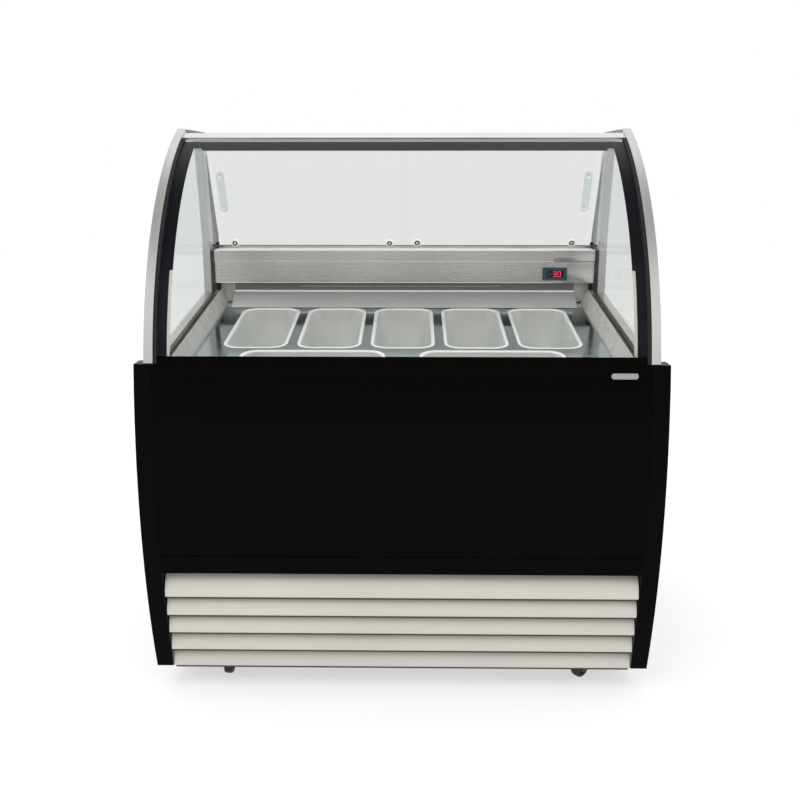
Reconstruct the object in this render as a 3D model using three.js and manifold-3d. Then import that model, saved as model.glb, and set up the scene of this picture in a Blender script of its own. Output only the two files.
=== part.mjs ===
// An ice cream dipping cabinet on casters: an insulated tub with seven lift-out pans under
// a curved glass display hood, a gloss front panel over louver slats, and two sliding rear doors.
// Units are millimetres and +Z is up. Inside this file X runs to the right, Y is the distance
// behind the foremost point of the front panel, and the last group moves the origin to the
// middle of the footprint on the floor.
import * as THREE from "three";
import { mergeVertices } from "three/addons/utils/BufferGeometryUtils.js";
import Module from "manifold-3d";

const wasm = await Module();
wasm.setup();

// ---- driving dimensions -------------------------------------------------------------------
const HEIGHT = 1347;
const DEPTH = 830;
const HALF_WIDTH = 600; // outer faces of the two front trims
const CLEAR = 0.3; // gap kept between touching pieces

// Front of the body: one gentle upright arc
const FRONT_RADIUS = 1650;
const BELLY_Z = 495;
const SKIRT_Z = 60;
const BODY_TOP_Z = 822;
const TRIM_INNER_X = 558;
const FRONT_TRIM_INNER_X = 560;
const TRIM_DEPTH = 45;
const PANEL_THICKNESS = 6;
const STRIP_Z = 328;
const SEAM_Z = 373;
const SLAT_COUNT = 5;
const SLAT_PITCH = 50.75;

// Side casing
const SIDE_FACE_X = 579;
const SIDE_PANEL_INNER_X = 562;
const REAR_FACE_Y = 821;
const REAR_SHEET = 6;

// Glass hood: the side frames, seals and front glass share one arc centre
const HOOD_Y = 742;
const HOOD_Z = 682;
const FRAME_RADIUS = 718;
const FRAME_BAR = 30;
const GLASS_OUTER_RADIUS = 712;
const GLASS_THICKNESS = 6;
const SEAL_INNER_RADIUS = 700;
const SEAL_X = 549;
const SIDE_GLASS_X = 541;
const SIDE_GLASS_THICKNESS = 5;
const GLASS_TOP_ANGLE = 63.5;
const CANOPY_TOP_Z = 1336;
const CANOPY_UNDER_Z = 1318;
const CANOPY_REAR_Y = 699;
const HEADER_FRONT_Y = 645;
const HEADER_UNDER_Z = 1297;

// Inclined deck that carries the pans, hinged about one line in its top face
const DECK_ANGLE = THREE.MathUtils.degToRad(8);
const DECK_Y = 308;
const DECK_Z = 806;
const DECK_HALF_WIDTH = 517;
const DECK_FRONT_Y = 49;
const DECK_REAR_Y = 687;
const DECK_SHEET = 1.5;
const SILL_OUTER_X = 548.9;
const SILL_HEIGHT = 39.6;

// Pans
const PAN_WIDTH = 165;
const PAN_LENGTH = 360;
const PAN_DEPTH = 120;
const PAN_RIM = 8;
const PAN_WALL = 1.5;
const PAN_TAPER = 0.9;
const PAN_CORNER = 36;
const BACK_PAN_PITCH = 188.6;
const FRONT_PAN_X = 222;
const FRONT_PAN_Y = 130;

// Insulated tub
const TUB_HALF_WIDTH = 552;
const TUB_WALL_X = 505;
const TUB_FRONT_Y = 60;
const TUB_REAR_Y = 735;
const TUB_INNER_FRONT_Y = 118;
const TUB_INNER_REAR_Y = 675;
const TUB_UNDER_Z = 540;
const TUB_FLOOR_Z = 600;

// Rear ledge and its two leaning sliding doors
const LEDGE_Y = 694;
const LEDGE_FACE_Y = 700;
const LEDGE_TOP_Z = 1022;
const LEDGE_UNDER_Z = 927;
const LEDGE_HALF_WIDTH = 548;
const DOOR_LEAN = THREE.MathUtils.degToRad(24.8);
const DOOR_FOOT_Z = 1030;
const DOOR_FOOT_Y = 792;
const DOOR_TRACK_PITCH = 15.4; // along Y, from the inner track to the outer one
const DOOR_HEIGHT = 302.9;
const DOOR_OUTER_X = 540;
const DOOR_OVERLAP_X = 12;
const DOOR_THICKNESS = 5;
const ROLLER_RADIUS = 12;
const ROLLER_LIFT = 7.2;

// Base and casters
const BASE_Z = 80;
const BASE_TOP_Z = 130;
const BASE_HALF_WIDTH = 540;
const BASE_FRONT_Y = 85;
const BASE_REAR_Y = 790;
const CASTER_X = 438;
const CASTER_FRONT_Y = 118;
const CASTER_REAR_Y = 700;
const CASTER_TRAIL = 17;
const PARKED_TURN = THREE.MathUtils.degToRad(-48);
const WHEEL_RADIUS = 25;
const WHEEL_FACETS = 20;
const AXLE_RADIUS = 4;

// ---- materials ----------------------------------------------------------------------------
const finish = (color, roughness, metalness, opacity = 1) =>
  new THREE.MeshStandardMaterial({ color, roughness, metalness, opacity, transparent: opacity < 1 });
const glossBlack = () => finish(0x0b0b0d, 0.12, 0);
const blackRubber = () => finish(0x101012, 0.7, 0);
const silver = () => finish(0xd2d0cb, 0.35, 0.8);
const slatGrey = () => finish(0xd7d4cc, 0.45, 0.1);
const stainless = () => finish(0xb4b5b4, 0.3, 1);
const casingSteel = () => finish(0x2a2b2d, 0.5, 0.3);
const foamWhite = () => finish(0xe4e4e0, 0.6, 0);
const clearGlass = () => finish(0xdfeeee, 0.03, 0, 0.25);
const acrylic = () => finish(0xeaf6f2, 0.06, 0, 0.3);
const darkSteel = () => finish(0x303236, 0.5, 0.6);
const plasticWhite = () => finish(0xeeeeea, 0.4, 0);
const finnedAluminium = () => finish(0x9a9ca0, 0.5, 0.8);
const zinc = () => finish(0x8c8f92, 0.4, 0.9);

// ---- solids -------------------------------------------------------------------------------
const point = (x, y) => new THREE.Vector2(x, y);

function solid(geometry) {
  const bare = geometry.clone();
  bare.deleteAttribute("normal");
  bare.deleteAttribute("uv");
  const merged = mergeVertices(bare, 1e-4);
  return new wasm.Manifold(
    new wasm.Mesh({
      numProp: 3,
      vertProperties: merged.attributes.position.array,
      triVerts: new Uint32Array(merged.index.array),
    }),
  );
}

function geometryOf(manifold) {
  const { vertProperties, triVerts } = manifold.getMesh();
  const geometry = new THREE.BufferGeometry();
  geometry.setAttribute("position", new THREE.BufferAttribute(vertProperties, 3));
  geometry.setIndex(new THREE.BufferAttribute(triVerts, 1));
  return geometry;
}

const join = (...pieces) => geometryOf(pieces.map(solid).reduce((a, b) => a.add(b)));
const cut = (body, ...tools) => geometryOf(tools.map(solid).reduce((a, b) => a.subtract(b), solid(body)));

// A box given by its lowest and highest corners.
function block(low, high) {
  const size = high.map((value, i) => value - low[i]);
  const middle = high.map((value, i) => (value + low[i]) / 2);
  return new THREE.BoxGeometry(...size).translate(...middle);
}

// An outline in Y and Z, drawn out along X from x0 to x1.
function alongX(shape, x0, x1) {
  const geometry = new THREE.ExtrudeGeometry(shape, { depth: x1 - x0, bevelEnabled: false });
  const turn = new THREE.Matrix4().makeBasis(
    new THREE.Vector3(0, 1, 0),
    new THREE.Vector3(0, 0, 1),
    new THREE.Vector3(1, 0, 0),
  );
  return geometry.applyMatrix4(turn).translate(x0, 0, 0);
}

// An outline in X and Z, drawn out along Y from y0 to y1.
function alongY(shape, y0, y1) {
  const geometry = new THREE.ExtrudeGeometry(shape, { depth: y1 - y0, bevelEnabled: false, curveSegments: 6 });
  return geometry.rotateX(Math.PI / 2).translate(0, y1, 0);
}

// An outline in X and Y, drawn out along Z from z0 to z1.
function alongZ(shape, z0, z1) {
  const options = { depth: z1 - z0, bevelEnabled: false, curveSegments: 3 };
  return new THREE.ExtrudeGeometry(shape, options).translate(0, 0, z0);
}

// A mesh in the group that holds it.
function place(group, name, geometry, material, position = [0, 0, 0]) {
  const mesh = new THREE.Mesh(geometry, material);
  mesh.name = name;
  mesh.position.set(...position);
  group.add(mesh);
  return mesh;
}

const SIDES = [
  ["left", -1],
  ["right", 1],
];

// The X range of a piece on one side, from its distances to the middle plane.
const sideRange = (side, near, far) => (side < 0 ? [-far, -near] : [near, far]);

// ---- shared curves ------------------------------------------------------------------------
const frontY = (z) => FRONT_RADIUS - Math.sqrt(FRONT_RADIUS ** 2 - (z - BELLY_Z) ** 2);

const steps = (from, to, count) => Array.from({ length: count + 1 }, (_, i) => from + ((to - from) * i) / count);

// A band of the body's front between two heights, set back by inset and depth thick.
function frontBand(z0, z1, depth, inset = 0, count = 14) {
  const heights = steps(z0, z1, count);
  const outer = heights.map((z) => point(frontY(z) + inset, z));
  const inner = heights.map((z) => point(frontY(z) + inset + depth, z)).reverse();
  return new THREE.Shape([...outer, ...inner]);
}

// A point of the hood at a radius and at an angle above the horizontal.
function hoodPoint(radius, degrees) {
  const angle = THREE.MathUtils.degToRad(degrees);
  return point(HOOD_Y - radius * Math.cos(angle), HOOD_Z + radius * Math.sin(angle));
}

const hoodAngle = (radius, z) => THREE.MathUtils.radToDeg(Math.asin((z - HOOD_Z) / radius));

const hoodArc = (radius, from, to, count) => steps(from, to, count).map((a) => hoodPoint(radius, a));

function hoodBand(inner, outer, from, to, count = 24) {
  return new THREE.Shape([...hoodArc(outer, from, to, count), ...hoodArc(inner, from, to, count).reverse()]);
}

// Height of the deck's top face, and of the line along the top of the side sills.
const deckZ = (y) => DECK_Z + Math.tan(DECK_ANGLE) * (y - DECK_Y);
const sillZ = (y) => deckZ(y) + SILL_HEIGHT / Math.cos(DECK_ANGLE);
const alongDeck = (y) => (y - DECK_Y) / Math.cos(DECK_ANGLE);

const cabinet = new THREE.Group();
cabinet.position.set(0, -DEPTH / 2, 0);

// ---- lower body ---------------------------------------------------------------------------
function addBase() {
  const rim = 30;
  const crossbar = 105;
  const middle = (BASE_FRONT_Y + BASE_REAR_Y) / 2;
  const pocketTop = BASE_TOP_Z - 6;
  const low = [-BASE_HALF_WIDTH + rim, BASE_FRONT_Y + crossbar, BASE_Z - 1];
  const high = [BASE_HALF_WIDTH - rim, BASE_REAR_Y - crossbar, pocketTop];
  const slab = block([-BASE_HALF_WIDTH, BASE_FRONT_Y, BASE_Z], [BASE_HALF_WIDTH, BASE_REAR_Y, BASE_TOP_Z]);
  const frontPocket = block(low, [high[0], middle - rim / 2, high[2]]);
  const rearPocket = block([low[0], middle + rim / 2, low[2]], high);
  place(cabinet, "base_frame", cut(slab, frontPocket, rearPocket), darkSteel());
}

function sidePanelShape() {
  const inset = TRIM_DEPTH + CLEAR;
  const frameFoot = 24 + CLEAR;
  const shoulderY = 715;
  const crownY = frontY(788) + inset;
  const front = steps(SKIRT_Z, sillZ(crownY) - frameFoot, 12).map((z) => point(frontY(z) + inset, z));
  return new THREE.Shape([
    ...front,
    point(shoulderY, sillZ(shoulderY) - frameFoot),
    point(shoulderY, LEDGE_TOP_Z + 2),
    point(REAR_FACE_Y, LEDGE_TOP_Z + 2),
    point(REAR_FACE_Y, SKIRT_Z),
  ]);
}

function addCasing() {
  for (const [name, side] of SIDES) {
    const panel = alongX(sidePanelShape(), ...sideRange(side, SIDE_PANEL_INNER_X, SIDE_FACE_X));
    place(cabinet, `side_panel_${name}`, panel, casingSteel());
    const trim = alongX(
      frontBand(SKIRT_Z, BODY_TOP_Z, TRIM_DEPTH),
      ...sideRange(side, FRONT_TRIM_INNER_X, HALF_WIDTH),
    );
    place(cabinet, `front_trim_${name}`, trim, glossBlack());
  }
}

function addRearPanel() {
  const x = SIDE_PANEL_INNER_X - CLEAR;
  const sheet = block([-x, REAR_FACE_Y - REAR_SHEET, 70], [x, REAR_FACE_Y, LEDGE_TOP_Z + 5]);
  const slotLength = 180;
  const slotHeight = 10;
  const slots = [-240, 0, 240].flatMap((column) =>
    steps(150, 330, 6).map((row) =>
      new THREE.BoxGeometry(slotLength, 3 * REAR_SHEET, slotHeight).translate(column, REAR_FACE_Y, row),
    ),
  );
  place(cabinet, "rear_panel", cut(sheet, ...slots), casingSteel());
}

function addFront() {
  const x = FRONT_TRIM_INNER_X - CLEAR;
  const panel = frontBand(SEAM_Z + 1, BODY_TOP_Z, PANEL_THICKNESS);
  place(cabinet, "front_panel", alongX(panel, -x, x), glossBlack());
  const strip = frontBand(STRIP_Z, SEAM_Z - 1, PANEL_THICKNESS, 0, 3);
  place(cabinet, "lower_strip", alongX(strip, -x, x), glossBlack());
}

// A slat leans back from its rounded lip, so that its top is hidden behind the slat above.
function slatShape(bottom) {
  const lip = frontY(bottom);
  const outer = [
    [2.5, 0],
    [0.5, 1.5],
    [0, 4.5],
    [0.8, 14],
    [3.5, 25],
    [8.5, 36],
    [15.5, 46],
    [24, 55],
  ];
  const inner = [
    [26, 53.5],
    [17.5, 44.5],
    [10.8, 35],
    [6, 24.5],
    [4, 12],
    [4.5, 0],
  ];
  return new THREE.Shape([...outer, ...inner].map(([back, up]) => point(lip + back, bottom + up)));
}

function addSlats() {
  const x = TRIM_INNER_X - CLEAR;
  for (let i = 0; i < SLAT_COUNT; i++) {
    const bottom = SKIRT_Z + SLAT_PITCH * (SLAT_COUNT - 1 - i);
    place(cabinet, `louver_slat_${i + 1}`, alongX(slatShape(bottom), -x, x), slatGrey());
  }
}

function addTub() {
  const drop = 2;
  const profile = new THREE.Shape([
    point(TUB_FRONT_Y, TUB_UNDER_Z),
    point(TUB_REAR_Y, TUB_UNDER_Z),
    point(TUB_REAR_Y, deckZ(TUB_REAR_Y) - drop),
    point(TUB_FRONT_Y, deckZ(TUB_FRONT_Y) - drop),
  ]);
  const outer = alongX(profile, -TUB_HALF_WIDTH, TUB_HALF_WIDTH);
  const cavity = block(
    [-TUB_WALL_X, TUB_INNER_FRONT_Y, TUB_FLOOR_Z],
    [TUB_WALL_X, TUB_INNER_REAR_Y, deckZ(TUB_REAR_Y) + 10],
  );
  place(cabinet, "insulated_tub", cut(outer, cavity), foamWhite());
}

// ---- deck, sills and pans, all in the inclined group --------------------------------------
const deck = new THREE.Group();
deck.position.set(0, DECK_Y, DECK_Z);
deck.rotation.x = DECK_ANGLE;
cabinet.add(deck);

function roundedRectangle(width, length, radius, x = 0, y = 0) {
  const right = x + width / 2;
  const left = x - width / 2;
  const back = y + length / 2;
  const front = y - length / 2;
  const quarter = Math.PI / 2;
  const shape = new THREE.Shape();
  shape.absarc(right - radius, back - radius, radius, 0, quarter);
  shape.absarc(left + radius, back - radius, radius, quarter, 2 * quarter);
  shape.absarc(left + radius, front + radius, radius, 2 * quarter, 3 * quarter);
  shape.absarc(right - radius, front + radius, radius, 3 * quarter, 4 * quarter);
  shape.closePath();
  return shape;
}

// Where each pan stands on the deck: its name, centre and size across and along the deck.
function panLayout() {
  const back = [-2, -1, 0, 1, 2].map((i) => ({
    name: `pan_back_${i + 3}`,
    x: i * BACK_PAN_PITCH,
    y: PAN_LENGTH / 2,
    width: PAN_WIDTH,
    length: PAN_LENGTH,
  }));
  const front = SIDES.map(([side, sign]) => ({
    name: `pan_front_${side}`,
    x: sign * FRONT_PAN_X,
    y: alongDeck(FRONT_PAN_Y) + PAN_WIDTH / 2,
    width: PAN_LENGTH,
    length: PAN_WIDTH,
  }));
  return [...back, ...front];
}

// Narrows a geometry towards its lowest point, as a pressed pan narrows.
function taper(geometry, depth, scale) {
  const position = geometry.getAttribute("position");
  for (let i = 0; i < position.count; i++) {
    const share = 1 - (1 - scale) * Math.min(1, -position.getZ(i) / depth);
    position.setXY(i, position.getX(i) * share, position.getY(i) * share);
  }
  return geometry;
}

function panGeometry(width, length) {
  const rimTop = 2.3;
  const bodyWidth = width - 2 * PAN_RIM;
  const bodyLength = length - 2 * PAN_RIM;
  const rim = alongZ(roundedRectangle(width, length, PAN_CORNER + 6), CLEAR, rimTop);
  const shell = alongZ(roundedRectangle(bodyWidth, bodyLength, PAN_CORNER), -PAN_DEPTH, 1);
  const hollow = alongZ(
    roundedRectangle(bodyWidth - 2 * PAN_WALL, bodyLength - 2 * PAN_WALL, PAN_CORNER - PAN_WALL),
    PAN_WALL - PAN_DEPTH,
    rimTop + 1,
  );
  const body = join(rim, taper(shell, PAN_DEPTH, PAN_TAPER));
  return cut(body, taper(hollow, PAN_DEPTH, PAN_TAPER));
}

function addDeck() {
  const front = alongDeck(DECK_FRONT_Y);
  const rear = alongDeck(DECK_REAR_Y);
  const sheet = block([-DECK_HALF_WIDTH, front, -DECK_SHEET], [DECK_HALF_WIDTH, rear, 0]);
  const margin = 2 * PAN_RIM - 2;
  const openings = panLayout().map((pan) =>
    alongZ(roundedRectangle(pan.width - margin, pan.length - margin, PAN_CORNER, pan.x, pan.y), -3, 1),
  );
  place(deck, "pan_deck", cut(sheet, ...openings), stainless());
}

function addPans() {
  for (const pan of panLayout()) {
    place(deck, pan.name, panGeometry(pan.width, pan.length), stainless(), [pan.x, pan.y, 0]);
  }
}

// A sill climbs from the deck to a grooved top that holds the side glass.
function addSills() {
  const grooveDepth = 9.9;
  const groove = [SIDE_GLASS_X - 0.6, SIDE_GLASS_X + SIDE_GLASS_THICKNESS + 0.6];
  const front = alongDeck(62);
  const rear = alongDeck(732);
  for (const [name, side] of SIDES) {
    const outline = [
      [DECK_HALF_WIDTH + 1, -DECK_SHEET],
      [SILL_OUTER_X, -DECK_SHEET],
      [SILL_OUTER_X, SILL_HEIGHT],
      [groove[1], SILL_HEIGHT],
      [groove[1], SILL_HEIGHT - grooveDepth],
      [groove[0], SILL_HEIGHT - grooveDepth],
      [groove[0], SILL_HEIGHT],
      [groove[0] - 3, SILL_HEIGHT],
    ];
    const shape = new THREE.Shape(outline.map(([x, z]) => point(side * x, z)));
    place(deck, `side_sill_${name}`, alongY(shape, front, rear), slatGrey());
  }
}

// ---- glass hood ---------------------------------------------------------------------------
function sideFrameGeometry(x0, x1) {
  const footZ = BODY_TOP_Z + CLEAR;
  const heelY = frontY(BODY_TOP_Z) + TRIM_DEPTH + CLEAR;
  const shoulderY = 715 - CLEAR;
  const barHeight = 24;
  const ledgeZ = LEDGE_TOP_Z + 2 + CLEAR;
  const topStart = hoodAngle(FRAME_RADIUS, HEIGHT);
  const outline = new THREE.Shape([
    ...hoodArc(FRAME_RADIUS, hoodAngle(FRAME_RADIUS, footZ), topStart, 24),
    point(705, HEIGHT),
    point(705, 1290),
    point(814, 1054),
    point(814, ledgeZ),
    point(shoulderY, ledgeZ),
    point(shoulderY, sillZ(shoulderY) - barHeight),
    point(heelY, sillZ(heelY) - barHeight),
    point(heelY, footZ),
  ]);
  const innerRadius = FRAME_RADIUS - FRAME_BAR;
  const windowTop = HEIGHT - FRAME_BAR;
  const window = new THREE.Shape([
    ...hoodArc(innerRadius, 14, hoodAngle(innerRadius, windowTop), 20),
    point(645, windowTop),
    point(650, 1283),
    point(686, 1060),
    point(686, sillZ(686) + 2),
    point(110, sillZ(110) + 2),
  ]);
  return cut(alongX(outline, x0, x1), alongX(window, x0 - 1, x1 + 1));
}

function sideGlassShape() {
  const depthInGroove = 8;
  const radius = SEAL_INNER_RADIUS - 1;
  const rear = 690;
  return new THREE.Shape([
    ...hoodArc(radius, 10, hoodAngle(radius, CANOPY_UNDER_Z - CLEAR * 2), 24),
    point(HEADER_FRONT_Y - 0.5, CANOPY_UNDER_Z - CLEAR * 2),
    point(HEADER_FRONT_Y - 0.5, HEADER_UNDER_Z),
    point(rear, 1060),
    point(rear, sillZ(rear) - depthInGroove),
  ]);
}

function addHoodSides() {
  for (const [name, side] of SIDES) {
    const frame = sideFrameGeometry(...sideRange(side, TRIM_INNER_X, SIDE_FACE_X));
    place(cabinet, `side_frame_${name}`, frame, silver());
    const seal = alongX(
      hoodBand(SEAL_INNER_RADIUS, FRAME_RADIUS - 1.5, 8.7, GLASS_TOP_ANGLE),
      ...sideRange(side, SEAL_X + CLEAR, TRIM_INNER_X - CLEAR),
    );
    place(cabinet, `glass_seal_${name}`, seal, blackRubber());
    const pane = alongX(
      sideGlassShape(),
      ...sideRange(side, SIDE_GLASS_X, SIDE_GLASS_X + SIDE_GLASS_THICKNESS),
    );
    place(cabinet, `side_glass_${name}`, pane, clearGlass());
  }
}

function addFrontGlass() {
  const foot = 11.9;
  const inner = GLASS_OUTER_RADIUS - GLASS_THICKNESS;
  const glass = hoodBand(inner, GLASS_OUTER_RADIUS, foot, GLASS_TOP_ANGLE, 28);
  place(cabinet, "front_glass", alongX(glass, -SEAL_X, SEAL_X), clearGlass());
  const rail = alongX(hoodBand(SEAL_INNER_RADIUS, 715, 7, 12.6, 6), -SEAL_X, SEAL_X);
  const groove = hoodBand(inner - 0.5, GLASS_OUTER_RADIUS + 0.5, foot - 0.1, 14, 3);
  place(cabinet, "glass_bottom_rail", cut(rail, alongX(groove, -SEAL_X - 1, SEAL_X + 1)), glossBlack());
}

function addCanopy() {
  const x = TRIM_INNER_X - CLEAR;
  const noseRadius = 713;
  const nose = hoodArc(noseRadius, 64.2, hoodAngle(noseRadius, CANOPY_TOP_Z), 3);
  const profile = new THREE.Shape([
    ...nose,
    point(CANOPY_REAR_Y, CANOPY_TOP_Z),
    point(CANOPY_REAR_Y, CANOPY_UNDER_Z),
    point(450, CANOPY_UNDER_Z),
    hoodPoint(noseRadius - 8, 64.2),
  ]);
  place(cabinet, "canopy", alongX(profile, -x, x), silver());
  const lamp = new THREE.Shape([
    point(455, CANOPY_UNDER_Z - CLEAR),
    point(457, 1311),
    point(463, 1309),
    point(479, 1309),
    point(485, 1311),
    point(487, CANOPY_UNDER_Z - CLEAR),
  ]);
  place(cabinet, "lamp_housing", alongX(lamp, -535, 535), plasticWhite());
}

// ---- rear ledge and doors -----------------------------------------------------------------
function addLedge() {
  const sheet = 3;
  const rear = REAR_FACE_Y - REAR_SHEET - 0.5;
  const trackFront = 771;
  const trackZ = LEDGE_TOP_Z - 1;
  const profile = new THREE.Shape([
    point(LEDGE_Y, LEDGE_TOP_Z - 32),
    point(LEDGE_Y, LEDGE_TOP_Z),
    point(trackFront, LEDGE_TOP_Z),
    point(trackFront, trackZ),
    point(rear, trackZ),
    point(rear, LEDGE_TOP_Z - sheet),
    point(LEDGE_FACE_Y + sheet, LEDGE_TOP_Z - sheet),
    point(LEDGE_FACE_Y + sheet, LEDGE_UNDER_Z),
    point(LEDGE_FACE_Y, LEDGE_UNDER_Z),
    point(LEDGE_FACE_Y, LEDGE_TOP_Z - 34),
  ]);
  place(cabinet, "rear_ledge", alongX(profile, -LEDGE_HALF_WIDTH, LEDGE_HALF_WIDTH), stainless());
}

function addDeflector() {
  const halfWidth = 500;
  const toe = point(672, deckZ(672) + 1.3);
  const knee = point(735, 899);
  const sheet = 2;
  const profile = new THREE.Shape([
    toe,
    knee,
    point(knee.x, LEDGE_UNDER_Z + 8),
    point(knee.x + sheet, LEDGE_UNDER_Z + 8),
    point(knee.x + sheet, knee.y - 1.2),
    point(toe.x + 3.6, toe.y),
  ]);
  place(cabinet, "air_deflector", alongX(profile, -halfWidth, halfWidth), stainless());
}

function addController() {
  const bezel = block([400, 693, 935], [470, LEDGE_FACE_Y - CLEAR, 972]);
  const window = block([412, 692, 943], [458, 694.5, 964]);
  place(cabinet, "controller", cut(bezel, window), darkSteel());
}

// A group whose Y axis stands square to a door and whose Z axis runs up it.
function doorGroup(track) {
  const group = new THREE.Group();
  group.position.set(0, DOOR_FOOT_Y + track * DOOR_TRACK_PITCH, DOOR_FOOT_Z);
  group.rotation.x = DOOR_LEAN;
  cabinet.add(group);
  return group;
}

function rollerGeometry() {
  const hub = 3;
  const profile = [
    point(0, -6.8),
    point(hub, -6.8),
    point(hub + 1, -6),
    point(ROLLER_RADIUS - 0.6, -6),
    point(ROLLER_RADIUS, -5.2),
    point(ROLLER_RADIUS, -1.6),
    point(ROLLER_RADIUS - 0.6, -1),
    point(0, -1),
  ];
  return new THREE.LatheGeometry(profile, 20);
}

function handleShape() {
  const halfWidth = 11;
  const halfLength = 62;
  const shape = new THREE.Shape();
  shape.absarc(0, halfLength - halfWidth, halfWidth, 0, Math.PI);
  shape.absarc(0, halfWidth - halfLength, halfWidth, Math.PI, 2 * Math.PI);
  shape.closePath();
  return shape;
}

function addDoors() {
  const rollerX = { left: [-503, -44], right: [38, 497] };
  const handleX = 524;
  const handleLift = 166;
  SIDES.forEach(([name, side], track) => {
    const group = doorGroup(track);
    const [x0, x1] = side < 0 ? [-DOOR_OUTER_X, DOOR_OVERLAP_X] : [-DOOR_OVERLAP_X, DOOR_OUTER_X];
    const pane = block([x0, 0, 0], [x1, DOOR_THICKNESS, DOOR_HEIGHT]);
    place(group, `door_${name}`, pane, acrylic());
    const handle = alongY(handleShape(), DOOR_THICKNESS + CLEAR, DOOR_THICKNESS + 6);
    place(group, `door_handle_${name}`, handle, acrylic(), [side * handleX, 0, handleLift]);
    rollerX[name].forEach((x, i) => {
      place(group, `door_roller_${name}_${i + 1}`, rollerGeometry(), plasticWhite(), [x, 0, ROLLER_LIFT]);
    });
  });
}

function addHeader() {
  const x = TRIM_INNER_X - CLEAR;
  const bar = block(
    [-x, HEADER_FRONT_Y, HEADER_UNDER_Z],
    [x, 703, CANOPY_UNDER_Z - CLEAR],
  );
  const slots = [0, 1].map((track) => {
    const low = [-x - 1, -0.9, DOOR_HEIGHT - 25];
    const high = [x + 1, DOOR_THICKNESS + 0.9, DOOR_HEIGHT + 3];
    return block(low, high)
      .rotateX(DOOR_LEAN)
      .translate(0, DOOR_FOOT_Y + track * DOOR_TRACK_PITCH, DOOR_FOOT_Z);
  });
  place(cabinet, "rear_top_track", cut(bar, ...slots), darkSteel());
}

// ---- refrigeration ------------------------------------------------------------------------
function addRefrigeration() {
  const floor = BASE_TOP_Z + CLEAR;
  const can = [
    point(0, floor + 6),
    point(70, floor + 6),
    point(80, floor + 24),
    point(82, floor + 70),
    point(80, floor + 150),
    point(66, floor + 186),
    point(34, floor + 202),
    point(0, floor + 206),
  ];
  const feet = block([-110, -70, floor], [110, 70, floor + 8]);
  const shell = new THREE.LatheGeometry(can, 24).rotateX(Math.PI / 2);
  place(cabinet, "compressor", join(shell, feet), glossBlack(), [210, 420, 0]);

  const coil = block([-430, 120, floor + 5], [-110, 180, 425]);
  const foot = block([-430, 110, floor], [-110, 195, floor + 6]);
  place(cabinet, "condenser", join(coil, foot), finnedAluminium());

  const motor = new THREE.CylinderGeometry(40, 40, 70, 20).translate(0, 276, 0);
  const post = block([-25, 268, floor - 280], [25, 284, 0]);
  place(cabinet, "fan_motor", join(motor, post), darkSteel(), [-270, 0, 280]);

  const fins = block([-470, 745, 882], [470, 805, 1008]);
  const drip = block([-480, 741, 874], [480, 811, 884]);
  place(cabinet, "evaporator", join(fins, drip), finnedAluminium());
}

function fanGeometry() {
  const bladeCount = 5;
  const hub = new THREE.CylinderGeometry(20, 20, 26, 20);
  const blades = Array.from({ length: bladeCount }, (_, i) =>
    block([14, -1, -19], [95, 1, 19])
      .rotateX(THREE.MathUtils.degToRad(32))
      .rotateY((i * 2 * Math.PI) / bladeCount),
  );
  return join(hub, ...blades);
}

function addFan() {
  place(cabinet, "condenser_fan", fanGeometry(), blackRubber(), [-270, 222, 280]);
}

function addGland() {
  const profile = [
    point(0, 0),
    point(13, 0),
    point(13, 4),
    point(9, 5),
    point(9, DEPTH - REAR_FACE_Y - CLEAR),
    point(0, DEPTH - REAR_FACE_Y - CLEAR),
  ];
  const gland = new THREE.LatheGeometry(profile, 16);
  place(cabinet, "cable_gland", gland, blackRubber(), [-470, REAR_FACE_Y + CLEAR, 110]);
}

// ---- casters ------------------------------------------------------------------------------
function forkGeometry() {
  const top = BASE_Z - CLEAR;
  const headFoot = 71;
  const crownFoot = 59;
  const cheekOuter = 16;
  const cheekInner = 12.5;
  const head = new THREE.CylinderGeometry(25, 25, top - headFoot, 24)
    .rotateX(Math.PI / 2)
    .translate(0, 0, (top + headFoot) / 2);
  const crown = block([-cheekOuter, -18, crownFoot], [cheekOuter, 27, headFoot + 0.5]);
  const cheekFoot = 17;
  const cheekShape = new THREE.Shape([
    point(-17, crownFoot + 1),
    point(26, crownFoot + 1),
    point(CASTER_TRAIL + 10, WHEEL_RADIUS),
    point(CASTER_TRAIL + 5, cheekFoot),
    point(CASTER_TRAIL - 5, cheekFoot),
    point(CASTER_TRAIL - 10, WHEEL_RADIUS),
  ]);
  const cheeks = SIDES.map(([, side]) => alongX(cheekShape, ...sideRange(side, cheekInner, cheekOuter)));
  const axle = new THREE.CylinderGeometry(AXLE_RADIUS, AXLE_RADIUS, 2 * cheekOuter + 4, 16)
    .rotateZ(Math.PI / 2)
    .translate(0, CASTER_TRAIL, WHEEL_RADIUS);
  return join(head, crown, ...cheeks, axle);
}

// The tread has flat facets, one of them square on the floor.
function wheelGeometry() {
  const facet = Math.PI / WHEEL_FACETS;
  const tread = WHEEL_RADIUS / Math.cos(facet);
  const bore = AXLE_RADIUS + 0.2;
  const halfWidth = 11;
  const shoulder = 3;
  const profile = [
    point(bore, -halfWidth),
    point(tread - shoulder, -halfWidth),
    point(tread, -halfWidth + shoulder),
    point(tread, halfWidth - shoulder),
    point(tread - shoulder, halfWidth),
    point(bore, halfWidth),
    point(bore, -halfWidth),
  ];
  return new THREE.LatheGeometry(profile, WHEEL_FACETS, facet).rotateZ(Math.PI / 2);
}

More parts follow.
